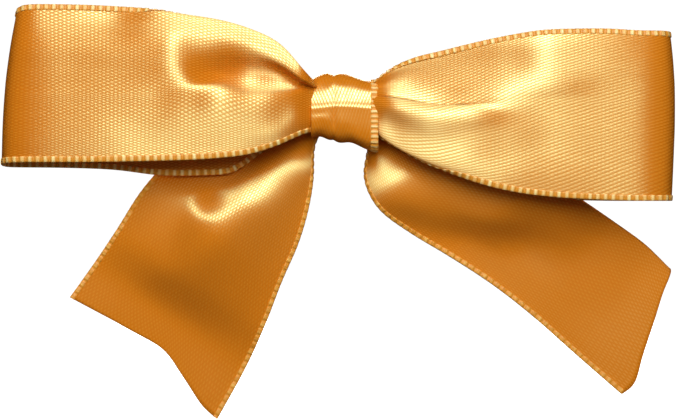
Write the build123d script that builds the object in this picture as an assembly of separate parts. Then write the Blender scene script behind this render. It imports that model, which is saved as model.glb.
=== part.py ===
"""Pre-made gift bow in satin ribbon, on a wire twist tie.

Frame: +X to the right along the loops, +Z up, the face of the bow towards -Y.
The origin is the middle of the flat back of the knot. Millimetres throughout.
Front outlines are given as (x, z) pairs, plan outlines as (x, y) pairs.
"""

import os

from build123d import *

# ---- Driving dimensions ----
RIBBON = 0.6            # wall of the 22 mm satin ribbon over its corded selvedge
WRAP_WIDTH = 8.4        # the narrow ribbon that is wrapped round the knot
WRAP_WALL = 0.4
KNOT_HEIGHT = 8.2
KNOT_DEPTH = 8.6
LAP_LENGTH = 5.2        # the two ends of the wrap lie over each other at the back
GLUE_LAYER = 0.25
FRONT_CORNER_R = 2.0    # middle of the wrap where it rounds the face of the knot

GATHER_HALF = 2.75      # half height of the pinched ribbon inside the knot
GATHER_REACH = WRAP_WIDTH / 2
PLEATS = 5
PLEAT_DEPTH = 0.8
LOOP_PLEATS_Y = (-6.5, -4.95)   # the loop ribbon crosses the knot twice
TAIL_PLEATS_Y = -3.4

THREAD = 0.5
THREAD_TURNS = (-1.2, -0.4, 0.4, 1.2)

LOOP_HINGE = (6.0, -5.9)        # distance from the middle, and y, of the pinch
LOOP_ROOT_R = 1.6
LOOP_AXIS_Y = -6.6              # middle plane of the open part of a loop
LOOP_HALF_DEPTH = 4.2
LOOP_OPENS_AT = 16.0            # distance from the middle where a loop is fully open
HOLLOW_STARTS_AT = 10.0
LEFT_LOOP_END = 42.9            # distance from the middle to the fold at a loop's end
RIGHT_LOOP_END = 41.1

TAIL_ROOT_Y = -3.3
TAIL_ROOT_R = 0.7
TAIL_ROOT_LENGTH = 2.6
TAIL_REACH = 60.0               # longer than any tail, trimmed by the outline

TIE_Y = -1.55
TIE_Z = 1.2
TIE_WIDTH = 3.2
TIE_FLAT = 0.3
TIE_RIB = 0.9
TIE_WIRE = 0.45
TIE_BEND_AT = 5.0
TIE_LENGTH = 80.0
BEND_GAP = 1.0                  # room for a leg's rib beside the middle of the tie when it is bent square

SPREAD = 40.0                   # taller than the bow, and deeper: trims are cut from blanks this big
FRONT_TRIM = -14.0

# ---- Front outlines, (x, z) ----
LEFT_LOOP_TOP = [(-4.3, 4.0), (-9.4, 8.7), (-16.0, 11.0), (-24.0, 12.2), (-34.0, 13.0), (-42.0, 13.1)]
LEFT_LOOP_BOTTOM = [(-42.8, -7.6), (-34.0, -7.5), (-24.0, -7.4), (-15.5, -7.0), (-9.4, -5.2), (-4.3, -3.4)]
RIGHT_LOOP_TOP = [(4.3, 3.5), (8.9, 6.7), (18.0, 8.9), (26.4, 10.0), (33.2, 9.9), (41.0, 9.3)]
RIGHT_LOOP_BOTTOM = [(41.0, -11.8), (30.5, -11.5), (22.4, -10.8), (14.5, -7.8), (9.0, -5.4), (4.3, -3.7)]

# A tail: where its pinched root is, the way it runs, and its outline.
LEFT_TAIL_ROOT = (-6.3, -3.9)
LEFT_TAIL_RUN = (-0.52, -0.854)
LEFT_TAIL_OUTER = [(-7.5, -3.2), (-14.5, -6.0), (-23.8, -8.2), (-28.5, -15.2), (-34.2, -23.6)]
LEFT_TAIL_CUT = [(-34.2, -23.6), (-23.4, -29.6), (-16.2, -38.5)]
LEFT_TAIL_INNER = [(-16.2, -38.5), (-10.6, -27.8), (-6.0, -16.6), (-4.5, -9.0), (-5.0, -4.7)]
RIGHT_TAIL_ROOT = (6.1, -3.9)
RIGHT_TAIL_RUN = (0.78, -0.626)
RIGHT_TAIL_OUTER = [(6.9, -2.9), (16.0, -5.0), (28.0, -10.2), (35.0, -15.4), (40.6, -20.0)]
RIGHT_TAIL_CUT = [(40.6, -20.0), (38.0, -29.0), (34.6, -35.6)]
RIGHT_TAIL_INNER = [(34.6, -35.6), (22.3, -24.2), (9.0, -15.7), (3.4, -10.6), (5.3, -4.9)]
# How far behind its root a tail lies, at distances along its run.
TAIL_SIDE = [(0, 0), (5.0, 0.7), (11.0, 2.3), (24.0, 2.8), (TAIL_REACH, 2.9)]
TAIL_SIDE_R = (6.0, 6.0, 20.0)


def front(points_lists):
    """A face in the XZ plane from edges through lists of (x, z), joined end to end."""
    edges = []
    for points in points_lists:
        places = [Vector(x, 0, z) for x, z in points]
        edges.append(Spline(*places) if len(places) > 2 else Line(*places))
    loose = []
    for edge, after in zip(edges, edges[1:] + edges[:1]):
        if (edge @ 1 - after @ 0).length > 1e-6:
            loose.append(Line(edge @ 1, after @ 0))
    return make_face([*edges, *loose])


def through(face, low_y, high_y):
    """The solid of a front outline between two depths."""
    return Pos(0, low_y, 0) * extrude(face, high_y - low_y, dir=(0, 1, 0))


def hull_of(circles):
    """The convex plan outline round circles given as (x, y, radius)."""
    return make_hull([e for x, y, r in circles for e in (Pos(x, y) * Circle(r)).edges()])


def loop(side, top, bottom, end_x):
    """One loop: a flattened ring of ribbon, pinched to a round root at the knot."""
    root = (side * LOOP_HINGE[0], LOOP_HINGE[1])
    middles = [(side * LOOP_OPENS_AT, LOOP_AXIS_Y), (side * (end_x - LOOP_HALF_DEPTH), LOOP_AXIS_Y)]
    inner_r = LOOP_HALF_DEPTH - RIBBON
    outside = hull_of([(*root, LOOP_ROOT_R)] + [(x, y, LOOP_HALF_DEPTH) for x, y in middles])
    hollow = hull_of([(side * HOLLOW_STARTS_AT, root[1], RIBBON)] + [(x, y, inner_r) for x, y in middles])
    ring = Pos(0, 0, -SPREAD / 2) * extrude(outside - hollow, SPREAD, dir=(0, 0, 1))
    return ring & through(front([top, bottom]), FRONT_TRIM, 0)


def tail(root, run, outer, cut, inner):
    """One tail: a sheet that steps back behind its loop and hangs to its cut end."""
    along = Vector(run[0], 0, run[1]).normalized()
    axis = along.cross(Vector(0, 1, 0))
    start = Vector(root[0], TAIL_ROOT_Y, root[1])
    side_view = Plane(origin=start, x_dir=along, z_dir=axis)
    step = 1 if side_view.y_dir.Y > 0 else -1
    path = FilletPolyline(*[(r, step * y) for r, y in TAIL_SIDE], radius=list(TAIL_SIDE_R))
    sheet = extrude(side_view * trace(path, RIBBON), SPREAD, both=True)
    flat = sheet & through(front([outer, cut, inner]), FRONT_TRIM, 0)
    nub = Plane(origin=start, z_dir=axis) * Cylinder(TAIL_ROOT_R, TAIL_ROOT_LENGTH)
    return flat + nub


def section(face):
    """Turns a face drawn as (y, z) into the YZ plane."""
    return Plane.YZ * face


def knot_wrap():
    """The narrow ribbon round the knot: a turn and a lap, with both ends at the back."""
    half = KNOT_HEIGHT / 2 - WRAP_WALL / 2
    outer_y = -WRAP_WALL / 2
    inner_y = outer_y - WRAP_WALL - GLUE_LAYER
    front_y = -KNOT_DEPTH + WRAP_WALL / 2
    turn = FilletPolyline(
        (inner_y, LAP_LENGTH / 2), (inner_y, -half), (front_y, -half),
        (front_y, half), (outer_y, half), (outer_y, -LAP_LENGTH / 2),
        radius=[1.2, FRONT_CORNER_R, FRONT_CORNER_R, 1.4],
    )
    return extrude(section(trace(turn, WRAP_WALL)), WRAP_WIDTH / 2, both=True)


def wrap_glue():
    """The dab of hot glue between the two ends of the wrap."""
    dab = RectangleRounded(GLUE_LAYER, LAP_LENGTH - 1.2, 0.1)
    middle_y = -WRAP_WALL - GLUE_LAYER / 2
    return extrude(section(Pos(middle_y, 0) * dab), WRAP_WIDTH / 2 - 1.0, both=True)


def pleated(y):
    """One layer of ribbon pinched into pleats, running through the knot."""
    step = 2 * (GATHER_HALF - 0.35) / PLEATS
    half = PLEAT_DEPTH / 2
    folds = [(y + (half if i % 2 else -half), -GATHER_HALF + 0.35 + i * step) for i in range(PLEATS + 1)]
    layer = trace(FilletPolyline(*folds, radius=0.35), RIBBON)
    return extrude(section(layer), GATHER_REACH, both=True)


def gather_thread():
    """Turns of binding thread round all the pinched layers."""
    outer_y = TIE_Y - TIE_RIB / 2 - 0.05
    deep = outer_y + KNOT_DEPTH - WRAP_WALL - 0.2
    high = 2 * GATHER_HALF + 2 * THREAD + 0.1
    middle_y = outer_y - deep / 2
    corner = FRONT_CORNER_R - WRAP_WALL / 2 - 0.2
    inside = RectangleRounded(deep - 2 * THREAD, high - 2 * THREAD, corner - THREAD)
    turn = Pos(middle_y, 0) * (RectangleRounded(deep, high, corner) - inside)
    rings = [Pos(x, 0, 0) * extrude(section(turn), THREAD / 2, both=True) for x in THREAD_TURNS]
    return Compound([fillet(r.edges().filter_by(GeomType.LINE, reverse=True), 0.1) for r in rings])


def tie_cover(start_x, end_x):
    """A length of the tie's plastic: a flat strip with a rib down its middle, round the wire."""
    shape = RectangleRounded(TIE_FLAT, TIE_WIDTH, TIE_FLAT * 0.45) + Circle(TIE_RIB / 2) - Circle(TIE_WIRE / 2)
    return Pos(start_x, TIE_Y, TIE_Z) * extrude(section(shape), end_x - start_x, dir=(1, 0, 0))


def tie_wire(start_x, end_x):
    """The steel wire inside the same length of the tie."""
    return Pos(start_x, TIE_Y, TIE_Z) * extrude(section(Circle(TIE_WIRE / 2)), end_x - start_x, dir=(1, 0, 0))


def tie_lengths():
    """Where the middle and the two legs of the tie start and end."""
    middle = TIE_BEND_AT - BEND_GAP / 2
    leg = TIE_BEND_AT + BEND_GAP / 2
    end = TIE_LENGTH / 2
    return {"centre": (-middle, middle), "left": (-end, -leg), "right": (leg, end)}


def nodes():
    """Every piece of the bow, by name."""
    made = {
        "left_loop": loop(-1, LEFT_LOOP_TOP, LEFT_LOOP_BOTTOM, LEFT_LOOP_END),
        "right_loop": loop(1, RIGHT_LOOP_TOP, RIGHT_LOOP_BOTTOM, RIGHT_LOOP_END),
        "left_tail": tail(LEFT_TAIL_ROOT, LEFT_TAIL_RUN, LEFT_TAIL_OUTER, LEFT_TAIL_CUT, LEFT_TAIL_INNER),
        "right_tail": tail(RIGHT_TAIL_ROOT, RIGHT_TAIL_RUN, RIGHT_TAIL_OUTER, RIGHT_TAIL_CUT, RIGHT_TAIL_INNER),
        "loop_gather": Compound([pleated(y) for y in LOOP_PLEATS_Y]),
        "tail_gather": pleated(TAIL_PLEATS_Y),
        "gather_thread": gather_thread(),
        "knot_wrap": knot_wrap(),
        "wrap_glue": wrap_glue(),
    }
    for name, (start_x, end_x) in tie_lengths().items():
        made[f"tie_cover_{name}"] = tie_cover(start_x, end_x)
        made[f"tie_wire_{name}"] = tie_wire(start_x, end_x)
    return made


os.makedirs("parts", exist_ok=True)
for name, shape in nodes().items():
    export_step(shape, f"parts/{name}.step")
    print(name, round(shape.volume, 2))
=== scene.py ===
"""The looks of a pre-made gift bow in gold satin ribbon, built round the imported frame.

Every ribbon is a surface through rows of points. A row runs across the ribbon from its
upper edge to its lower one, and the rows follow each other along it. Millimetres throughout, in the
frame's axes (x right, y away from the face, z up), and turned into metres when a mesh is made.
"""

import math

import bpy
import numpy as np
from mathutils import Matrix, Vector

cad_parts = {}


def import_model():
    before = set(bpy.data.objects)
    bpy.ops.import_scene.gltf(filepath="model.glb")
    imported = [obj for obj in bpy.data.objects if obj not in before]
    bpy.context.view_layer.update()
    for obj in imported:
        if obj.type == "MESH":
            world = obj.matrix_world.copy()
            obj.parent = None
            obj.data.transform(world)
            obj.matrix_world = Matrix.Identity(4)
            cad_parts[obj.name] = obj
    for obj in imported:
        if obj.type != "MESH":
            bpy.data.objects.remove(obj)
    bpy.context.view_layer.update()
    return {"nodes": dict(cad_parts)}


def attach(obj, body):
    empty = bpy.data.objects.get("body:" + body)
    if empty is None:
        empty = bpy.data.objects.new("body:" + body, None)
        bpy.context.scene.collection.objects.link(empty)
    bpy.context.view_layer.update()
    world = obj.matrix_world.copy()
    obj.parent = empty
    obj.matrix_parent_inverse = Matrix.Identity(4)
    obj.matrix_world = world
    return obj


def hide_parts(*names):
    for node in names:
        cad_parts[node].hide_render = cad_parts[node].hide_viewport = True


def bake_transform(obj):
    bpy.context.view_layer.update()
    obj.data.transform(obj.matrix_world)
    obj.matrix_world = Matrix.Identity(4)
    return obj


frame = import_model()

MM = 0.001                      # in metres
RIBBON_WIDTH = 22.0
CLOTH = 0.24                    # thickness of the satin
GRID = 0.4                      # spacing of a ribbon's vertices
SOFTENED = 0.8                  # how far the rows are smoothed into each other

STITCH_PITCH = 0.97             # the selvedge's stitches, along the edge
STITCH_REACH = 0.7              # how far a stitch reaches in from the edge of a loop
TAIL_STITCH_REACH = 0.6         # and from the edge of a tail
STITCH_STEPS = 10               # rings of the selvedge's mesh to each stitch
STITCH_HEIGHT = 0.12            # how far a stitch stands off the cloth
GAP_HEIGHT = 0.015              # and the flat bed between two stitches
STITCH_FOOT = 0.12              # where a stitch starts to rise, as a share of its wave
STITCH_SHOULDER = 0.35          # and the share over which it reaches its height

AIM = (-0.69, -6.0, -12.7)      # the place that the camera looks at
VIEW_WIDTH = 84.9               # mm across the picture at that place
CAMERA_AWAY = 450.0             # from that place, straight in front of it


# ---- Curves and surfaces ----

def cubic(knots, values, at):
    """A natural cubic spline through values at knots, read at other places. values may be points."""
    knots, values, at = (np.asarray(a, float) for a in (knots, values, at))
    n = len(knots)
    gap = np.diff(knots)
    flat = values.reshape(n, -1)
    system, right = np.eye(n), np.zeros_like(flat)
    for i in range(1, n - 1):
        system[i, i - 1:i + 2] = gap[i - 1], 2 * (gap[i - 1] + gap[i]), gap[i]
        right[i] = 6 * ((flat[i + 1] - flat[i]) / gap[i] - (flat[i] - flat[i - 1]) / gap[i - 1])
    bend = np.linalg.solve(system, right)
    i = np.clip(np.searchsorted(knots, at) - 1, 0, n - 2)
    h, low, high = gap[i][:, None], (at - knots[i])[:, None], (knots[i + 1] - at)[:, None]
    out = (bend[i] * high ** 3 + bend[i + 1] * low ** 3) / (6 * h)
    out += (flat[i] / h - bend[i] * h / 6) * high + (flat[i + 1] / h - bend[i + 1] * h / 6) * low
    return out.reshape(len(at), *values.shape[1:])


def steady(knots, values, at):
    """A smooth curve of points like cubic's, but one that never swings past the points it goes between."""
    flat = values.reshape(len(knots), -1)
    gap = np.diff(knots)[:, None]
    rise = np.diff(flat, axis=0) / gap
    before, after = rise[:-1], rise[1:]
    mean = (before * gap[1:] + after * gap[:-1]) / (gap[1:] + gap[:-1])
    least = np.minimum(np.minimum(abs(before), abs(after)), abs(mean) / 2)
    slope = np.concatenate([rise[:1], (np.sign(before) + np.sign(after)) * least, rise[-1:]])
    i = np.clip(np.searchsorted(knots, at) - 1, 0, len(knots) - 2)
    h = gap[i]
    t = (at - knots[i])[:, None] / h
    out = flat[i] * (1 + 2 * t) * (1 - t) ** 2 + flat[i + 1] * t * t * (3 - 2 * t)
    out += h * (slope[i] * t * (1 - t) ** 2 - slope[i + 1] * t * t * (1 - t))
    return out.reshape(len(at), *values.shape[1:])


def soften(points, reach):
    """The grid of points smoothed along the ribbon, over reach in mm."""
    steps = np.arange(-3 * reach, 3 * reach + GRID / 2, GRID)   # a bell curve ends by three times its reach
    weights = np.exp(-0.5 * (steps / reach) ** 2)
    spare = len(weights) // 2
    padded = np.pad(points, ((spare, spare), (0, 0), (0, 0)), "reflect", reflect_type="odd")
    windows = [w * padded[k:k + len(points)] for k, w in enumerate(weights / weights.sum())]
    return sum(windows)


def along_rows(rows):
    """How far along the ribbon each row of points lies: the usual distance between rows, added up."""
    steps = np.linalg.norm(np.diff(rows, axis=0), axis=2).mean(axis=1)
    return np.concatenate([[0.0], np.cumsum(steps)])


def surface(rows, across):
    """A fine grid through the rows: (points, along, across), with along and across in mm of ribbon."""
    rows = np.asarray(rows, float)
    along = along_rows(rows)
    fine_along = np.linspace(0, along[-1], int(along[-1] / GRID) + 1)
    fine_across = np.linspace(across[0], across[-1], int((across[-1] - across[0]) / GRID) + 1)
    by_row = cubic(across, rows.transpose(1, 0, 2), fine_across)
    points = soften(steady(along, by_row.transpose(1, 0, 2), fine_along), SOFTENED)
    return unforeshorten(points), fine_along, fine_across


def unforeshorten(points):
    """The points drawn in a little where they are nearer. Rows are set out as they look from the camera."""
    points = points.copy()
    scale = (points[..., 1] - AIM[1] + CAMERA_AWAY) / CAMERA_AWAY
    for axis in (0, 2):
        points[..., axis] = AIM[axis] + (points[..., axis] - AIM[axis]) * scale
    return points


# ---- Meshes ----

def new_object(name, vertices, faces, material, uv=None, smooth=True):
    """A mesh object from vertices in mm. uv gives a (u, v) for each vertex."""
    mesh = bpy.data.meshes.new(name)
    mesh.from_pydata([tuple(v) for v in np.asarray(vertices) * MM], [], faces)
    mesh.validate()
    if uv is not None:
        layer = mesh.uv_layers.new(name="Weave")
        places = np.zeros(len(mesh.loops), int)
        mesh.loops.foreach_get("vertex_index", places)
        layer.data.foreach_set("uv", np.asarray(uv, np.float32)[places].ravel())
    mesh.polygons.foreach_set("use_smooth", [smooth] * len(mesh.polygons))
    mesh.materials.append(material)
    mesh.update()
    made = bpy.data.objects.new(name, mesh)
    bpy.context.scene.collection.objects.link(made)
    return made


def grid_faces(rows, columns):
    """Quads of a grid whose vertices are numbered row by row."""
    return [
        (i * columns + j, i * columns + j + 1, (i + 1) * columns + j + 1, (i + 1) * columns + j)
        for i in range(rows - 1) for j in range(columns - 1)
    ]


def cloth(name, points, along, across, material, thickness=CLOTH):
    """A strip of ribbon with its real thickness. Its UV map holds (along, across) in mm."""
    rows, columns = points.shape[:2]
    uv = np.stack(np.meshgrid(along, across, indexing="ij"), axis=-1).reshape(-1, 2)
    strip = new_object(name, points.reshape(-1, 3), grid_faces(rows, columns), material, uv)
    wall = strip.modifiers.new("thickness", "SOLIDIFY")
    wall.thickness, wall.offset = thickness * MM, 0
    apply_modifiers(strip)
    return strip


def apply_modifiers(piece):
    """Makes the mesh that the modifiers show the piece's own mesh."""
    seen = piece.evaluated_get(bpy.context.evaluated_depsgraph_get())
    mesh = bpy.data.meshes.new_from_object(seen)
    piece.modifiers.clear()
    piece.data = mesh


BOTH_EDGES = ((0, 3), (-1, -4))     # a grid's edge columns, each with one a little further in
SELVEDGE_PATH = np.array([          # (share of the reach in from the edge, height off the cloth's middle)
    (1.0, 0.5), (0.97, 0.95), (0.75, 1.0), (0.4, 1.0), (0.1, 0.95), (-0.03, 0.55), (-0.05, 0.0),
    (-0.03, -0.55), (0.1, -0.95), (0.4, -1.0), (0.75, -1.0), (0.97, -0.95), (1.0, -0.5),
])


def unit(vectors):
    """The same directions, each of length 1."""
    return vectors / np.linalg.norm(vectors, axis=-1, keepdims=True)


def selvedge(name, points, edges, material, reach=STITCH_REACH, pitch=STITCH_PITCH, thickness=CLOTH):
    """The oversewn edges of a ribbon: bands that wrap round each edge and rise at every stitch."""
    vertices, faces, uv = [], [], []
    for edge, inner in edges:
        line, inner_line = points[:, edge], points[:, inner]
        length = np.concatenate([[0], np.cumsum(np.linalg.norm(np.diff(line, axis=0), axis=1))])
        at = np.arange(0, length[-1], pitch / STITCH_STEPS)
        place, forward = cubic(length, line, at), unit(cubic(length, np.gradient(line, length, axis=0), at))
        inward = cubic(length, inner_line - line, at)
        inward = unit(inward - forward * (inward * forward).sum(axis=1, keepdims=True))
        out = np.cross(forward, inward)
        wave = 0.5 - 0.5 * np.cos(math.tau * at / pitch)
        rise = np.clip((wave - STITCH_FOOT) / STITCH_SHOULDER, 0, 1)
        lift = GAP_HEIGHT + (STITCH_HEIGHT - GAP_HEIGHT) * rise * rise * (3 - 2 * rise)
        inset, height = SELVEDGE_PATH.T[:, None, :, None]
        rings = (place[:, None] + inward[:, None] * inset * reach
                 + out[:, None] * height * (thickness / 2 + lift)[:, None, None])
        first = len(vertices)
        vertices.extend(rings.reshape(-1, 3))
        faces.extend(tuple(first + k for k in face) for face in grid_faces(len(at), len(SELVEDGE_PATH)))
        around = SELVEDGE_PATH[:, 0] * reach
        uv.extend(np.stack(np.meshgrid(around, at / pitch), axis=-1).reshape(-1, 2))
    return new_object(name, vertices, faces, material, np.array(uv))


# ---- Materials ----

def colour(red, green, blue):
    """A colour given as it looks on a screen, 0 to 255, as the linear numbers that a shader takes."""
    def linear(c):
        c /= 255
        return c / 12.92 if c <= 0.04045 else ((c + 0.055) / 1.055) ** 2.4
    return (linear(red), linear(green), linear(blue), 1.0)


class Nodes:
    """A material's node tree, with a short way to add and join nodes."""

    def __init__(self, name):
        self.material = bpy.data.materials.new(name)
        self.material.use_nodes = True
        self.tree = self.material.node_tree
        self.shader = self.tree.nodes["Principled BSDF"]

    def add(self, kind, inputs=None, **settings):
        """A node of that kind. inputs holds numbers, or the sockets that feed it."""
        node = self.tree.nodes.new(kind)
        for name, value in settings.items():
            setattr(node, name, value)
        for name, value in (inputs or {}).items():
            self.put(node.inputs[name], value)
        return node

    def put(self, socket, value):
        """Feeds a socket from another socket, or sets it to a value."""
        if isinstance(value, bpy.types.NodeSocket):
            self.tree.links.new(value, socket)
        else:
            socket.default_value = value

    def math(self, operation, *values):
        """A Math node's result from numbers or sockets."""
        return self.add("ShaderNodeMath", dict(enumerate(values)), operation=operation).outputs[0]

    def ramp(self, value, low, high):
        """value, from 0 to 1, turned into low to high."""
        return self.math("MULTIPLY_ADD", value, high - low, low)

    def mix(self, factor, first, second):
        """A colour between two colours."""
        inputs = {"Factor": factor, 6: first, 7: second}
        return self.add("ShaderNodeMix", inputs, data_type="RGBA").outputs[2]

    def set(self, **values):
        """Sets the shader's own sockets, named with _ for a space."""
        for name, value in values.items():
            self.put(self.shader.inputs[name.replace("_", " ")], value)


# The weave is two sets of slanting lines, each as (step along, step across) and a spacing in mm.
FIRST_SLANT, FIRST_SPACING = (0.33, -0.94), 0.39
SECOND_SLANT, SECOND_SPACING = (-0.44, -0.90), 0.375
WEAVE_DRIFT = 2.6               # how far the lines wander, as an angle in radians
WEAVE_DEPTH = 0.03              # mm
SLUBS = (3.2, 0.18)             # thick places in the threads: spots to a mm across and along the ribbon
BLOTCHES = (0.2, 0.2)           # patches that are a little rougher
THREAD_DARK, THREAD_LIGHT = colour(206, 110, 10), colour(232, 142, 30)
GLOSS_DARK, GLOSS_LIGHT = (0.30, 0.34, 0.12, 1.0), (0.78, 0.98, 0.50, 1.0)


def satin(name, scale=1.0, mirror=None, ridged=0.0, relief=1.0):
    """Woven satin: floats in a slanting lattice, glossiest where light crosses the threads along it.

    mirror is a place across the ribbon, in mm, where the slant turns the other way. ridged, from 0 to 1,
    runs the floats together into slanting lines, and relief is how much the weave shows.
    """
    n = Nodes(name)
    place = n.add("ShaderNodeSeparateXYZ", {0: n.add("ShaderNodeUVMap", uv_map="Weave").outputs[0]})
    along, across = place.outputs[0], place.outputs[1]
    if mirror is not None:
        across = n.math("ABSOLUTE", n.math("SUBTRACT", across, mirror))

    def noise(scale_across, scale_along):
        """Noise with so many spots to a mm, across and along the ribbon."""
        where = n.add("ShaderNodeCombineXYZ", {0: n.math("MULTIPLY", across, scale_across),
                                               1: n.math("MULTIPLY", along, scale_along)})
        spots = n.add("ShaderNodeTexNoise", {"Vector": where.outputs[0], "Scale": 1.0, "Detail": 3.0})
        return spots.outputs[0]

    drift = n.math("MULTIPLY", noise(0.3, 0.3), WEAVE_DRIFT)

    def lines(slant, spacing):
        """A wave of 0 to 1 that runs in that direction and repeats after spacing, in mm."""
        turn = math.tau / (spacing * scale)
        angle = n.math("MULTIPLY_ADD", along, turn * slant[0],
                       n.math("MULTIPLY_ADD", across, turn * slant[1], drift))
        return n.math("MULTIPLY_ADD", n.math("SINE", angle), 0.5, 0.5)

    second = n.ramp(lines(SECOND_SLANT, SECOND_SPACING), ridged, 1.0)
    floats = n.math("MULTIPLY", lines(FIRST_SLANT, FIRST_SPACING), second)
    slubs = noise(*SLUBS)
    blotches = noise(*BLOTCHES)
    weave = n.math("MULTIPLY_ADD", slubs, 0.3, n.math("MULTIPLY_ADD", floats, 1.15, -0.08))
    tone = n.mix(n.ramp(weave, 0.5 - relief / 2, 0.5 + relief / 2), THREAD_DARK, THREAD_LIGHT)
    tint = n.mix(weave, GLOSS_DARK, GLOSS_LIGHT)
    rough = n.math("MULTIPLY_ADD", weave, -0.10, n.ramp(blotches, 0.48, 0.54))
    raised = {"Strength": 0.3 * relief, "Distance": WEAVE_DEPTH * MM, "Height": weave}
    bump = n.add("ShaderNodeBump", raised)
    tangent = n.add("ShaderNodeTangent", direction_type="UV_MAP", uv_map="Weave")
    n.set(Base_Color=tone, Roughness=rough, Normal=bump.outputs[0], Tangent=tangent.outputs[0],
          Specular_Tint=tint, Anisotropic=0.96, Anisotropic_Rotation=0.25, Specular_IOR_Level=1.0, IOR=2.0)
    return n.material


STITCH_GAP = colour(222, 146, 40)
STITCH_PLIES = 5                # fine threads side by side in a stitch


def selvedge_yarn(name, dim, bright):
    """Oversewn stitches, from dim to bright, and their gaps. One unit along the band is one stitch."""
    n = Nodes(name)
    place = n.add("ShaderNodeSeparateXYZ", {0: n.add("ShaderNodeUVMap", uv_map="Weave").outputs[0]})
    around, stitches = place.outputs[0], place.outputs[1]
    edge = n.add("ShaderNodeCombineXYZ", {0: stitches}).outputs[0]
    noise = n.add("ShaderNodeTexNoise", {"Vector": edge, "Scale": 0.9, "Detail": 2.0}).outputs[0]
    uneven = n.add("ShaderNodeMapRange", {"Value": noise, "From Min": 0.35, "From Max": 0.65}).outputs[0]
    wave = n.math("MULTIPLY_ADD", n.math("COSINE", n.math("MULTIPLY", stitches, math.tau)), -0.5, 0.5)
    bar = n.add("ShaderNodeMapRange", {"Value": wave, "From Min": 0.4, "From Max": 0.95}).outputs[0]
    twist = n.math("MULTIPLY_ADD", around, 3.0, n.math("MULTIPLY", stitches, math.tau * STITCH_PLIES))
    plies = n.math("MULTIPLY_ADD", n.math("SINE", twist), 0.5, 0.5)
    bump = n.add("ShaderNodeBump", {"Strength": 0.25, "Distance": WEAVE_DEPTH * MM, "Height": plies})
    n.set(Base_Color=n.mix(bar, STITCH_GAP, n.mix(uneven, dim, bright)), Specular_IOR_Level=0.3,
          Roughness=n.math("MULTIPLY_ADD", plies, 0.1, 0.5), Normal=bump.outputs[0])
    return n.material


SATIN = satin("gold_satin")
TAIL_SATIN = satin("gold_satin_tails", relief=0.5)
RIDGED_SATIN = satin("gold_satin_ridged", ridged=0.5)
# Two copies of one yarn. The loops' copy is painted lighter, a painted highlight where they catch the
# light. The tails' copy is painted darker, a painted shade where they lie in less light.
LIT_SELVEDGE = selvedge_yarn("lit_gold_selvedge_yarn", colour(240, 176, 80), colour(255, 234, 160))
SHADED_SELVEDGE = selvedge_yarn("shaded_selvedge_yarn", colour(214, 134, 24), colour(240, 184, 88))


# ---- The loops ----

# Where a row's points lie on the ribbon, in mm from its upper edge.
LEFT_COLUMNS = (0, 1.4, 2.8, 4.2, 5.8, 7.6, 9.4, 10.8, 11.6, 12.8, 15.6, 18.6, 22)
RIGHT_COLUMNS = (0, 2, 4.5, 7, 9.4, 10.0, 10.7, 11.4, 14, 17, 19.6, 22)


def row(x, depth, height):
    """A row across the ribbon at one x, where depth holds the points' y and height their z."""
    return np.stack([np.full(len(depth), x), depth, height], axis=1)


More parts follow.
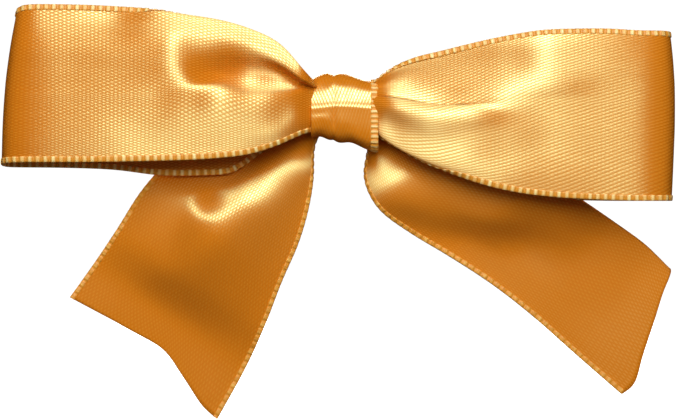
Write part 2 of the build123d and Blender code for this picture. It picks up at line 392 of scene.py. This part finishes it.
LEFT_FRONT = [
    row(0, (-6.0, -6.0, -6.2, -6.4, -6.9, -6.7, -6.8, -7.0, -7.3, -7.4, -7.5, -7.3, -6.8),
        (0.9, 2.0, 2.5, 2.5, 2.3, 1.9, 1.7, 1.6, 1.4, 1.0, -0.4, -1.7, -2.6)),
    row(-3.2, (-5.9, -6.0, -6.2, -6.5, -6.6, -6.6, -6.7, -6.8, -7.0, -7.2, -7.4, -7.3, -6.9),
        (1.9, 2.6, 2.7, 2.5, 2.4, 2.3, 2.2, 2.1, 1.9, 1.4, 0.1, -1.4, -2.7)),
    row(-4.5, (-7.8, -9.4, -9.8, -9.9, -8.3, -7.8, -7.7, -7.8, -8.0, -8.2, -8.3, -8.6, -7.8),
        (3.1, 3.9, 3.6, 3.2, 3.0, 2.85, 2.7, 2.55, 2.4, 2.1, 0.3, -1.5, -3.0)),
    row(-5, (-8.2, -9.85, -10.2, -10.4, -8.9, -8.3, -8.2, -8.3, -8.6, -8.8, -8.9, -8.9, -8.1),
        (3.5, 4.4, 3.95, 3.4, 3.15, 3.0, 2.85, 2.7, 2.5, 2.2, 0.4, -1.5, -3.1)),
    row(-8, (-7.5, -8.75, -9.3, -10.1, -9.0, -8.25, -8.2, -8.35, -8.9, -9.9, -10.2, -10.1, -9.4),
        (6.8, 7.85, 7.1, 5.8, 5.0, 4.3, 3.5, 2.75, 2.25, 1.9, -0.8, -2.7, -4.45)),
    row(-12, (-7.0, -8.2, -8.75, -9.5, -9.1, -8.1, -7.8, -8.15, -9.1, -10.5, -10.95, -10.6, -10.1),
        (8.7, 9.85, 9.2, 8.0, 6.5, 5.2, 4.1, 2.95, 2.2, 1.6, -1.3, -3.6, -5.75)),
    row(-16, (-6.9, -8.0, -8.6, -9.5, -9.8, -9.3, -8.7, -8.8, -9.6, -10.8, -11.1, -10.7, -10.45),
        (10.3, 11.0, 10.4, 9.2, 7.6, 6.1, 4.9, 3.8, 3.1, 2.6, -0.9, -3.7, -6.25)),
    row(-20, (-7.0, -8.0, -8.65, -9.65, -10.2, -10.35, -10.5, -10.7, -10.85, -10.95, -10.9, -10.65, -10.5),
        (11.3, 11.6, 10.9, 9.75, 8.3, 6.7, 5.2, 3.9, 3.1, 2.4, -0.6, -3.6, -6.5)),
    row(-22, (-7.3, -8.0, -8.75, -9.85, -10.6, -10.8, -10.9, -10.9, -10.93, -10.96, -10.95, -10.72, -10.55),
        (11.7, 11.85, 10.8, 9.5, 7.9, 6.3, 4.8, 3.4, 2.6, 1.8, -1.0, -3.8, -6.55)),
    row(-24, (-7.4, -7.9, -8.75, -9.85, -10.5, -10.7, -10.8, -10.87, -10.93, -10.96, -10.96, -10.77, -10.6),
        (12.25, 12.1, 10.6, 9.2, 7.6, 6.0, 4.4, 3.0, 2.1, 1.3, -1.3, -3.9, -6.6)),
    row(-29, (-7.2, -7.5, -8.4, -9.45, -10.15, -10.37, -10.5, -10.65, -10.75, -10.8, -10.93, -10.95, -10.8),
        (12.7, 11.4, 10.2, 8.9, 7.4, 5.7, 4.1, 2.7, 1.9, 1.1, -1.5, -4.1, -6.7)),
    row(-34,
        (-7.2, -7.55, -8.33, -9.25, -9.85, -10.02, -10.2, -10.35, -10.47, -10.55, -10.75, -10.85, -10.7),
        (12.9, 11.5, 10.2, 8.9, 7.4, 5.7, 4.1, 2.7, 1.9, 1.1, -1.5, -4.1, -6.75)),
    row(-38.5, (-7.2, -7.55, -8.3, -9.1, -9.65, -9.8, -9.95, -10.1, -10.22, -10.3, -10.5, -10.62, -10.5),
        (12.95, 11.5, 10.2, 8.9, 7.3, 5.6, 4.0, 2.6, 1.8, 1.0, -1.6, -4.1, -6.75)),
]
LEFT_BACK = [
    row(-36, (-3.9, -3.8, -3.8, -3.7, -3.7, -3.7, -3.7, -3.7, -3.7, -3.7, -3.7, -3.8, -4.0),
        (11.4, 10.0, 8.7, 7.4, 5.9, 4.2, 2.6, 1.2, 0.5, -0.8, -3.0, -5.4, -7.45)),
    row(-29, (-3.2, -3.0, -2.9, -2.8, -2.8, -2.8, -2.8, -2.8, -2.8, -2.8, -2.8, -3.0, -3.2),
        (11.4, 10.0, 8.8, 7.5, 6.0, 4.3, 2.7, 1.2, 0.4, -0.9, -3.1, -5.6, -7.7)),
    row(-22, (-3.4, -3.1, -2.8, -2.6, -2.7, -3.2, -3.5, -3.4, -3.1, -2.8, -3.2, -3.9, -4.4),
        (11.0, 10.2, 9.3, 8.0, 6.5, 4.8, 3.2, 1.9, 0.9, -0.4, -2.8, -5.6, -8.45)),
    row(-15, (-4.4, -3.6, -3.0, -2.8, -3.2, -4.1, -4.5, -4.2, -3.7, -3.0, -3.4, -4.1, -4.6),
        (9.2, 9.4, 8.9, 7.6, 6.1, 4.6, 3.2, 2.0, 1.0, -0.3, -2.7, -5.4, -8.3)),
    row(-9.5, (-4.8, -4.0, -3.5, -3.2, -3.6, -4.5, -5.0, -4.7, -4.1, -3.4, -3.0, -3.2, -3.4),
        (5.8, 6.6, 6.4, 5.5, 4.4, 3.4, 2.4, 1.5, 0.8, -0.3, -1.7, -3.4, -5.0)),
    row(-5.2, (-5.3, -4.7, -4.1, -3.9, -4.2, -4.8, -5.1, -4.8, -4.4, -3.9, -3.9, -4.1, -4.8),
        (3.0, 3.6, 3.6, 3.0, 2.4, 1.9, 1.4, 0.9, 0.5, -0.2, -1.2, -2.3, -3.1)),
    row(-3, (-5.4, -4.9, -4.4, -4.2, -4.4, -4.9, -5.2, -5.0, -4.6, -4.2, -4.2, -4.4, -4.9),
        (2.2, 2.7, 2.7, 2.3, 1.9, 1.5, 1.1, 0.7, 0.4, -0.2, -1.1, -1.9, -2.6)),
    row(0, (-5.4, -4.9, -4.4, -4.2, -4.4, -4.9, -5.2, -5.0, -4.6, -4.2, -4.2, -4.4, -4.9),
        (2.2, 2.7, 2.7, 2.3, 1.9, 1.5, 1.1, 0.7, 0.4, -0.2, -1.1, -1.9, -2.6)),
]
RIGHT_FRONT = [
    row(0, (-5.9, -6.1, -6.3, -6.6, -7.1, -6.8, -6.4, -6.7, -7.2, -7.4, -7.2, -6.6),
        (2.5, 2.6, 2.4, 2.0, 1.7, 1.5, 1.4, 1.1, 0.1, -1.1, -2.0, -2.6)),
    row(3.2, (-5.9, -6.1, -6.4, -6.7, -7.2, -7.1, -6.9, -7.3, -7.9, -7.9, -7.5, -6.8),
        (2.7, 2.65, 2.5, 2.2, 1.8, 1.65, 1.6, 1.35, 0.2, -1.2, -2.2, -2.7)),
    row(4.3, (-6.9, -7.6, -7.3, -7.4, -8.1, -8.1, -8.0, -8.5, -9.1, -8.5, -8.2, -7.2),
        (3.8, 3.65, 3.1, 2.4, 1.85, 1.6, 1.55, 1.3, -0.1, -1.7, -3.3, -3.2)),
    row(5, (-7.1, -7.7, -7.4, -7.5, -8.3, -8.3, -8.15, -8.8, -9.3, -8.6, -8.4, -7.6),
        (4.35, 4.1, 3.4, 2.5, 1.75, 1.5, 1.45, 1.15, -0.3, -2.0, -3.85, -3.5)),
    row(8, (-7.4, -7.7, -7.5, -7.7, -8.65, -8.7, -8.55, -9.3, -10.1, -9.4, -9.2, -8.3),
        (6.0, 5.5, 4.4, 2.9, 1.3, 1.0, 0.95, 0.6, -1.2, -3.3, -5.6, -5.25)),
    row(12, (-7.9, -8.0, -7.97, -8.3, -9.2, -9.3, -9.25, -9.95, -10.65, -10.15, -9.95, -9.2),
        (7.1, 6.4, 4.9, 3.0, 0.65, 0.3, 0.4, 0.0, -2.1, -4.6, -7.1, -7.55)),
    row(16, (-8.3, -8.45, -8.5, -8.95, -9.7, -9.75, -9.75, -10.3, -10.56, -10.35, -10.23, -9.8),
        (8.1, 7.2, 5.4, 3.2, 1.0, 0.5, 0.35, -0.1, -2.3, -5.1, -7.5, -9.15)),
    row(20.5, (-8.7, -9.1, -9.15, -9.55, -10.1, -10.15, -10.18, -10.23, -10.35, -10.26, -10.37, -10.15),
        (9.05, 7.9, 6.0, 3.8, 1.7, 1.1, 0.5, -0.1, -2.6, -5.5, -8.1, -10.35)),
    row(26, (-9.2, -9.75, -9.95, -10.1, -10.1, -10.0, -10.0, -10.0, -10.04, -10.04, -10.2, -10.03),
        (9.8, 8.3, 6.2, 4.1, 2.0, 1.4, 0.8, 0.1, -2.5, -5.5, -8.5, -11.1)),
    row(32, (-9.1, -9.65, -9.92, -10.0, -9.96, -9.96, -9.96, -9.96, -10.0, -10.0, -10.0, -9.9),
        (9.9, 8.3, 6.1, 3.9, 1.7, 1.1, 0.5, -0.2, -2.8, -5.8, -8.7, -11.45)),
    row(37, (-8.9, -9.4, -9.78, -9.92, -9.95, -9.95, -9.95, -9.95, -9.95, -9.95, -9.95, -9.85),
        (9.65, 8.1, 5.9, 3.7, 1.5, 0.9, 0.3, -0.4, -2.9, -5.9, -8.8, -11.6)),
]
RIGHT_BACK = [
    row(35, (-3.9, -3.8, -3.7, -3.7, -3.7, -3.7, -3.7, -3.7, -3.7, -3.7, -3.8, -3.9),
        (9.3, 7.6, 5.4, 3.2, 1.4, 0.3, -0.6, -1.7, -3.9, -6.4, -9.2, -11.6)),
    row(29, (-3.2, -3.0, -2.8, -2.8, -2.8, -2.8, -2.8, -2.8, -2.8, -2.8, -2.9, -3.1),
        (9.6, 7.9, 5.6, 3.3, 1.5, 0.4, -0.5, -1.6, -3.8, -6.3, -9.1, -11.5)),
    row(22, (-3.3, -3.0, -2.7, -2.8, -3.2, -3.4, -3.4, -3.2, -2.7, -2.6, -2.9, -3.4),
        (9.1, 7.9, 5.6, 3.4, 1.7, 0.6, -0.3, -1.4, -3.5, -6.0, -8.4, -10.6)),
    row(16, (-4.0, -3.4, -2.9, -3.3, -4.0, -4.4, -4.4, -4.0, -3.2, -2.8, -3.1, -3.9),
        (7.9, 7.3, 5.3, 3.4, 1.9, 1.0, 0.2, -0.8, -2.7, -5.0, -7.4, -9.2)),
    row(10, (-4.7, -3.9, -3.3, -3.7, -4.5, -5.0, -5.0, -4.5, -3.6, -3.2, -3.6, -4.4),
        (6.2, 5.7, 4.6, 3.0, 1.9, 1.2, 0.5, -0.3, -1.7, -3.4, -5.1, -6.4)),
    row(5.2, (-5.3, -4.7, -4.0, -4.1, -4.7, -5.1, -5.1, -4.7, -4.1, -3.9, -4.1, -4.8),
        (3.9, 3.8, 3.2, 2.2, 1.4, 0.9, 0.4, -0.1, -1.0, -2.1, -3.1, -3.8)),
    row(3, (-5.4, -4.9, -4.3, -4.3, -4.8, -5.2, -5.2, -4.8, -4.3, -4.2, -4.4, -4.9),
        (2.9, 2.8, 2.2, 1.6, 1.0, 0.7, 0.4, 0.0, -0.8, -1.6, -2.3, -2.8)),
    row(0, (-5.4, -4.9, -4.3, -4.3, -4.8, -5.2, -5.2, -4.8, -4.3, -4.2, -4.4, -4.9),
        (2.5, 2.4, 2.0, 1.5, 1.0, 0.7, 0.4, 0.0, -0.7, -1.5, -2.2, -2.7)),
]


FOLD_PLACES = (0, 6, 12, 22)            # mm across the ribbon where the end of a loop is given
LEFT_END = (-41.0, -42.0, -42.6, -42.9)
RIGHT_END = (40.6, 41.1, 41.2, 40.8)
FOLD_TURNS = (35, 65, 90, 115, 145)     # degrees round the end, one row at each
FOLD_DEPTH = 1.6                        # from where the ribbon starts to turn to the end of the loop
FOLD_FULLNESS = 0.93                    # how much of the loop's depth the turn takes up


def fold(columns, before, after, reach):
    """Rows that turn the ribbon round the end of a loop, between a front row and a back row.

    reach says how far out the fold goes at FOLD_PLACES.
    """
    ends = cubic(FOLD_PLACES, reach, columns)
    middle = (before[:, 1] + after[:, 1]) / 2
    deep = (after[:, 1] - before[:, 1]) / 2
    side = math.copysign(1, reach[0])
    rows = []
    for turn in np.radians(FOLD_TURNS):
        share = (1 - math.cos(turn)) / 2
        x = ends - side * FOLD_DEPTH * (1 - math.sin(turn))
        y = middle - deep * math.cos(turn) * FOLD_FULLNESS
        z = before[:, 2] * (1 - share) + after[:, 2] * share
        rows.append(np.stack([x, y, z], axis=1))
    return rows


def ribbon_piece(name, rows, columns, end, nodes,
                 material=SATIN, yarn=LIT_SELVEDGE, reach=STITCH_REACH):
    """A length of the satin ribbon with its selvedges. The side that end lies on sets which way the weave
    runs.
    """
    points, along, across = surface(rows, columns)
    onward = along * math.copysign(1, -end[0])      # so that the weave slants the same way on both sides
    strip = cloth(f"{name}_ribbon", points, onward, across, material)
    edge = selvedge(f"{name}_selvedge", points, BOTH_EDGES, yarn, reach)
    for piece in (strip, edge):
        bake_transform(piece)
    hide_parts(*nodes)


LEFT_FOLD = fold(LEFT_COLUMNS, LEFT_FRONT[-1], LEFT_BACK[0], LEFT_END)
RIGHT_FOLD = fold(RIGHT_COLUMNS, RIGHT_FRONT[-1], RIGHT_BACK[0], RIGHT_END)
ribbon_piece("left_loop", LEFT_FRONT + LEFT_FOLD + LEFT_BACK, LEFT_COLUMNS,
             end=(-9.5, -5.9, 0), nodes=["left_loop", "loop_gather"])
ribbon_piece("right_loop", RIGHT_FRONT + RIGHT_FOLD + RIGHT_BACK, RIGHT_COLUMNS,
             end=(9.5, -5.9, 0), nodes=["right_loop"], material=RIDGED_SATIN)


# ---- The tails ----

TAIL_COLUMNS = (0, 3, 5.5, 8, 11, 14, 17, 19.5, 22)     # mm from the edge that is nearer to its loop
# How far across a row its points lie, as a share.
EVEN = tuple(c / RIBBON_WIDTH for c in TAIL_COLUMNS)
BUNCHED = (0.05, 0.0, 0.08, 0.22, 0.42, 0.62, 0.80, 0.92, 1.0)
ROLLED = (0.26, 0.07, 0.0, 0.14, 0.34, 0.55, 0.75, 0.89, 1.0)   # its upper part turns back behind it


def slant(first, last, shares, depth):
    """A row across a tail, from one edge as (x, z) to the other."""
    shares = np.array(shares)
    x = first[0] + shares * (last[0] - first[0])
    z = first[1] + shares * (last[1] - first[1])
    return np.stack([x, depth, z], axis=1)


LEFT_TAIL = [
    slant((0, 1.6), (0, -2.2), BUNCHED, (-3.7, -3.1, -2.9, -3.1, -3.6, -3.7, -3.5, -3.3, -3.2)),
    slant((-3.2, -0.6), (-3.2, -3.3), BUNCHED, (-3.6, -3.0, -2.8, -3.1, -3.7, -3.8, -3.6, -3.4, -3.3)),
    slant((-6.2, -2.2), (-4.0, -5.6), BUNCHED, (-2.7, -2.2, -2.3, -2.9, -3.9, -4.3, -4.2, -3.9, -3.6)),
    slant((-10.8, -3.6), (-4.0, -8.3), BUNCHED, (-2.4, -2.2, -2.3, -3.0, -4.7, -5.5, -5.3, -4.7, -4.0)),
    slant((-16.2, -4.8), (-4.5, -12.2), EVEN, (-1.9, -2.2, -2.8, -4.0, -5.9, -6.5, -5.9, -5.0, -4.3)),
    slant((-21.4, -6.3), (-5.8, -16.8), EVEN, (-2.0, -2.6, -3.4, -4.2, -7.2, -7.5, -6.3, -5.2, -4.4)),
    slant((-25.0, -9.8), (-7.8, -21.4), EVEN, (-3.0, -3.7, -4.6, -6.6, -8.4, -7.8, -6.4, -5.3, -4.5)),
    slant((-28.5, -15.2), (-10.0, -27.1), EVEN, (-3.2, -4.0, -4.9, -6.1, -6.6, -6.2, -5.5, -4.8, -4.3)),
    slant((-31.4, -19.5), (-12.5, -32.6), EVEN, (-2.6, -2.8, -3.0, -3.2, -3.4, -3.4, -3.3, -3.2, -3.1)),
    np.array([(-34.4, -2.8, -23.7), (-31.4, -3.0, -25.3), (-28.8, -3.1, -26.7), (-26.1, -3.3, -28.2),
              (-22.9, -3.5, -30.1), (-21.0, -3.6, -32.5), (-19.3, -3.6, -35.1), (-17.8, -3.6, -37.3),
              (-16.0, -3.5, -38.9)]),
]
RIGHT_TAIL = [
    slant((0, 1.6), (0, -2.2), BUNCHED, (-3.7, -3.1, -2.9, -3.1, -3.6, -3.7, -3.5, -3.3, -3.2)),
    slant((3.2, -0.6), (3.0, -4.2), BUNCHED, (-3.6, -3.0, -2.8, -3.1, -3.8, -3.9, -3.6, -3.3, -3.2)),
    slant((5.6, -2.2), (2.8, -5.8), BUNCHED, (-2.6, -2.2, -2.4, -2.9, -3.9, -4.3, -4.0, -3.4, -3.0)),
    slant((9.8, -3.2), (2.4, -8.2), BUNCHED, (-1.6, -1.5, -2.0, -3.1, -4.5, -4.9, -4.7, -4.1, -3.4)),
    slant((15.0, -4.6), (3.9, -12.2), BUNCHED, (-1.2, -1.4, -2.4, -3.8, -5.4, -6.0, -5.9, -5.3, -4.6)),
    slant((19.8, -6.2), (8.3, -15.7), ROLLED, (-0.8, -1.2, -3.2, -5.0, -5.8, -5.6, -4.9, -4.0, -3.6)),
    slant((24.4, -8.4), (12.8, -18.4), ROLLED, (-0.7, -1.1, -3.4, -5.4, -6.0, -5.4, -3.2, -2.8, -3.1)),
    slant((28.8, -11.1), (17.9, -21.7), ROLLED, (-0.5, -0.8, -2.8, -4.4, -4.2, -2.6, -2.5, -2.6, -2.8)),
    slant((33.5, -14.3), (23.1, -25.7), ROLLED, (-0.5, -0.7, -2.0, -2.5, -2.6, -2.6, -2.6, -2.7, -2.8)),
    slant((37.6, -17.3), (28.4, -30.4), ROLLED, (-0.5, -0.7, -1.9, -2.4, -2.6, -2.7, -2.8, -2.9, -2.9)),
    np.array([(39.1, -0.6, -22.4), (40.2, -0.9, -20.3), (40.7, -2.1, -20.6), (39.9, -2.7, -22.8),
              (39.0, -3.0, -25.6), (38.0, -3.2, -28.7), (37.0, -3.4, -31.9), (36.2, -3.5, -34.4),
              (34.6, -3.5, -35.8)]),
]
ribbon_piece("left_tail", LEFT_TAIL, TAIL_COLUMNS,
             end=(-9.0, -3.3, -8.5), nodes=["left_tail", "tail_gather"],
             material=TAIL_SATIN, yarn=SHADED_SELVEDGE, reach=TAIL_STITCH_REACH)
ribbon_piece("right_tail", RIGHT_TAIL, TAIL_COLUMNS,
             end=(9.0, -3.3, -8.0), nodes=["right_tail"],
             material=TAIL_SATIN, yarn=SHADED_SELVEDGE, reach=TAIL_STITCH_REACH)


# ---- The knot ----

WRAP_ACROSS = (-4.2, -2.9, -1.75, -1.4, -1.05, 0.5, 2.5, 4.1)    # places in x, and what the wrap is there:
WRAP_TOP = (3.5, 4.15, 4.2, 4.1, 4.2, 4.1, 3.45, 3.3)            # its highest z
WRAP_BOTTOM = (-3.5, -3.3, -3.7, -3.7, -3.9, -4.0, -4.8, -5.3)   # its lowest z
WRAP_BROW = (0.0, 0.1, 0.25, 0.3, 0.3, 0.25, 0.1, -0.05)         # where the bright slope of its face ends
WRAP_SHINE = (2.2, 2.4, 2.75, 2.9, 2.9, 2.7, 2.35, 2.15)         # and where that starts
WRAP_CREASE = (0, 0, 0, 0.14, 0, 0, 0, 0)                        # how deep it is creased
WRAP_THICKNESS = 0.36
WRAP_COLUMNS = 83               # vertices across it
WRAP_SPACING = 0.15             # and between them along it
WRAP_OPEN_EDGE = ((-1, -6),)    # its right edge, the one with stitches
WRAP_STITCH_REACH = 0.9
WRAP_STITCH_PITCH = 0.62
WRAP_SATIN = satin("wrap_satin", scale=0.9, ridged=0.4, relief=0.25, mirror=WRAP_ACROSS[3] - WRAP_ACROSS[0])


def wrap_row(x, top, bottom, brow, shine, crease):
    """The wrap's path round the knot at one x, from its inner end at the back to its outer end."""
    inner_lap = [(-0.85, 1.9), (-0.85, 0.2), (-0.9, bottom + 1.4)]
    underside = [(-2.0, bottom + 0.15), (-4.6, bottom), (-7.4, bottom + 0.1), (-8.4, bottom + 0.7)]
    face = [(-8.65, bottom + 1.6), (-8.5, brow - 0.55), (-8.44, brow - 0.12), (-8.3, brow + 0.2),
            (-7.9, (brow + shine) / 2), (-7.4, shine)]
    over = [(-6.6, shine * 0.35 + top * 0.65), (-5.4, top - 0.05), (-4.0, top), (-1.9, top - 0.15)]
    outer_lap = [(-0.6, top - 1.1), (-0.22, 1.6), (-0.2, -2.2)]
    creased = [(y + crease, z) for y, z in face]
    return [(x, y, z) for y, z in inner_lap + underside + creased + over + outer_lap]


def knot_wrap():
    """The narrow ribbon round the knot, creased along it where it was folded."""
    profile = zip(WRAP_ACROSS, WRAP_TOP, WRAP_BOTTOM, WRAP_BROW, WRAP_SHINE, WRAP_CREASE)
    rows = np.array([wrap_row(*r) for r in profile])
    path = along_rows(rows.transpose(1, 0, 2))
    across = np.linspace(WRAP_ACROSS[0], WRAP_ACROSS[-1], WRAP_COLUMNS)
    along = np.linspace(0, path[-1], int(path[-1] / WRAP_SPACING))
    by_row = cubic(path, rows.transpose(1, 0, 2), along)
    points = cubic(WRAP_ACROSS, by_row.transpose(1, 0, 2), across).transpose(1, 0, 2)
    strip = cloth("knot_wrap_ribbon", points, along, across - across[0], WRAP_SATIN, WRAP_THICKNESS)
    edge = selvedge("knot_wrap_selvedge", points, WRAP_OPEN_EDGE, LIT_SELVEDGE,
                    WRAP_STITCH_REACH, WRAP_STITCH_PITCH, WRAP_THICKNESS)
    for piece in (strip, edge):
        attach(piece, "knot")
    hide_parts("knot_wrap")


knot_wrap()


# ---- The small parts: thread, glue and the twist tie ----

CLOUDS = 0.9                    # spots to a mm in their uneven colour
BAND_DRIFT = 4.0                # how far their bands wander, as an angle in radians
BAND_DEPTH = 0.05               # mm
THREAD_TURNS = (-1.2, -0.4, 0.4, 1.2)   # the x of each turn
THREAD_RADIUS = 0.25
THREAD_MIDDLE = -5.0            # y of the middle of the turns
THREAD_REACH = (2.3, 2.5)       # how far they reach from it in y and z
THREAD_STEPS = 72               # points round a turn
THREAD_SIDES = 10               # points round the thread


def small_part(name, dark, light, roughness, bands, metal=0.0, clear=0.0):
    """Uneven colour and fine bands across x, bands mm apart, for wire, thread, film or glue."""
    n = Nodes(name)
    place = n.add("ShaderNodeTexCoord").outputs["Object"]
    cloudy = n.add("ShaderNodeTexNoise", {"Vector": place, "Scale": CLOUDS / MM, "Detail": 4.0}).outputs[0]
    x = n.add("ShaderNodeSeparateXYZ", {0: place}).outputs[0]
    angle = n.math("MULTIPLY_ADD", x, math.tau / (bands * MM), n.math("MULTIPLY", cloudy, BAND_DRIFT))
    wave = n.math("SINE", angle)
    relief = n.math("ADD", n.math("MULTIPLY_ADD", wave, 0.3, 0.5), cloudy)
    bump = n.add("ShaderNodeBump", {"Strength": 0.3, "Distance": BAND_DEPTH * MM, "Height": relief})
    n.set(Base_Color=n.mix(cloudy, dark, light), Roughness=n.ramp(cloudy, roughness - 0.1, roughness + 0.1),
          Normal=bump.outputs[0], Metallic=metal, Coat_Weight=clear)
    return n.material


def binding():
    """Turns of thread drawn tight round the gathers, under the wrap, nearly square with round corners."""
    angle = np.linspace(0, math.tau, THREAD_STEPS, endpoint=False)
    y, z = [np.sign(w) * np.sqrt(abs(w)) * reach
            for w, reach in zip((np.cos(angle), np.sin(angle)), THREAD_REACH)]
    x = np.zeros(THREAD_STEPS)
    line = np.stack([x, THREAD_MIDDLE + y, z], axis=1)
    outward = unit(np.stack([x, y, z], axis=1))
    vertices, faces = [], []
    for middle in THREAD_TURNS:
        first = len(vertices)
        for side in np.linspace(0, math.tau, THREAD_SIDES, endpoint=False):
            off = outward * THREAD_RADIUS * math.cos(side)
            vertices.extend(line + off + (middle + THREAD_RADIUS * math.sin(side), 0, 0))
        for i in range(THREAD_SIDES):
            for j in range(THREAD_STEPS):
                beside, on = (i + 1) % THREAD_SIDES, (j + 1) % THREAD_STEPS
                corners = ((i, j), (i, on), (beside, on), (beside, j))
                faces.append([first + THREAD_STEPS * a + b for a, b in corners])
    thread = small_part("binding_thread", colour(196, 112, 20), colour(236, 160, 60), 0.6, 0.25)
    turns = new_object("binding_turns", vertices, faces, thread)
    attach(turns, "knot")
    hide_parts("gather_thread")


def dress(material, *names):
    """Puts a material on frame nodes that stay shown, because their shapes are right."""
    for name in names:
        frame["nodes"][name].material_slots[0].material = material


binding()
GLUE = small_part("hot_glue", colour(206, 178, 120), colour(244, 226, 184), 0.35, 3.0, clear=0.6)
FILM = small_part("tie_film", colour(198, 138, 44), colour(240, 190, 96), 0.3, 1.2, clear=0.8)
STEEL = small_part("tie_steel", colour(150, 150, 148), colour(206, 206, 202), 0.35, 0.4, metal=1.0)
dress(GLUE, "wrap_glue")
dress(FILM, "tie_cover_centre", "tie_cover_left", "tie_cover_right")
dress(STEEL, "tie_wire_centre", "tie_wire_left", "tie_wire_right")


# ---- Camera, light and floor ----

FLOOR_HEIGHT = -40.0
FLOOR_RADIUS = 900.0
FLOOR_SIDES = 96
FLOOR_GLOW = 1.1                # so that it shows as bright as the white round the bow
WHITE = (1, 1, 1, 1)
WARM_WHITE = (1.0, 0.98, 0.95, 1)
BACKDROP = 1.05                 # strength of the white that the camera sees
AMBIENT = 0.12                  # strength of the light from all round
SENSOR = 36                     # mm
LIT_PLACE = (0, -6, -5)         # what the soft boxes point at
ABOVE, FRONT, BEHIND = (0, -260, 215), (0, -400, 130), (0, 380, 160)    # where they stand


def floor():
    """A plain pale disc just under the tips of the tails."""
    n = Nodes("pale_floor")
    n.set(Base_Color=colour(240, 240, 238), Roughness=0.9,
          Emission_Color=WHITE, Emission_Strength=FLOOR_GLOW)
    rim = [(FLOOR_RADIUS * math.cos(a), FLOOR_RADIUS * math.sin(a), FLOOR_HEIGHT)
           for a in np.linspace(0, math.tau, FLOOR_SIDES, endpoint=False)]
    disc = new_object("floor", rim, [tuple(range(len(rim)))], n.material, smooth=False)
    disc.visible_diffuse = disc.visible_glossy = False


def camera():
    """The camera, level and straight in front of AIM."""
    data = bpy.data.cameras.new("camera")
    data.sensor_width = SENSOR
    data.lens = SENSOR * CAMERA_AWAY / VIEW_WIDTH
    data.clip_start, data.clip_end = 0.01, 10       # metres
    eye = bpy.data.objects.new("camera", data)
    eye.location = Vector((AIM[0], AIM[1] - CAMERA_AWAY, AIM[2])) * MM
    eye.rotation_euler = (math.pi / 2, 0, 0)
    bpy.context.scene.collection.objects.link(eye)
    bpy.context.scene.camera = eye


def area_light(name, place, size, power, diffuse=True, glossy=True):
    """A soft box at a place in mm, turned to the bow. Its power is in watts."""
    data = bpy.data.lights.new(name, "AREA")
    data.shape, data.size, data.size_y = "RECTANGLE", size[0] * MM, size[1] * MM
    data.energy = power
    box = bpy.data.objects.new(name, data)
    box.visible_diffuse, box.visible_glossy = diffuse, glossy
    box.location = Vector(place) * MM
    towards = Vector(LIT_PLACE) * MM - box.location
    box.rotation_euler = towards.to_track_quat("-Z", "Y").to_euler()
    bpy.context.scene.collection.objects.link(box)


def world():
    """Even light from all round, white where the camera sees it, that stays out of the reflections."""
    made = bpy.data.worlds.new("studio")
    made.use_nodes = True
    made.cycles_visibility.glossy = False
    tree = made.node_tree
    white, even = tree.nodes.new("ShaderNodeBackground"), tree.nodes["Background"]
    white.inputs["Color"].default_value = WHITE
    white.inputs["Strength"].default_value = BACKDROP
    even.inputs["Color"].default_value = WARM_WHITE
    even.inputs["Strength"].default_value = AMBIENT
    ray, mix = tree.nodes.new("ShaderNodeLightPath"), tree.nodes.new("ShaderNodeMixShader")
    tree.links.new(ray.outputs["Is Camera Ray"], mix.inputs[0])
    tree.links.new(even.outputs[0], mix.inputs[1])
    tree.links.new(white.outputs[0], mix.inputs[2])
    tree.links.new(mix.outputs[0], tree.nodes["World Output"].inputs["Surface"])
    bpy.context.scene.world = made


camera()
world()
floor()
area_light("key", ABOVE, size=(220, 130), power=0.45)
area_light("gloss", ABOVE, size=(90, 100), power=1.95, diffuse=False)
area_light("fill", FRONT, size=(300, 200), power=1.2, glossy=False)
area_light("back", BEHIND, size=(300, 200), power=1.6)
bpy.context.scene.view_settings.view_transform = "Standard"
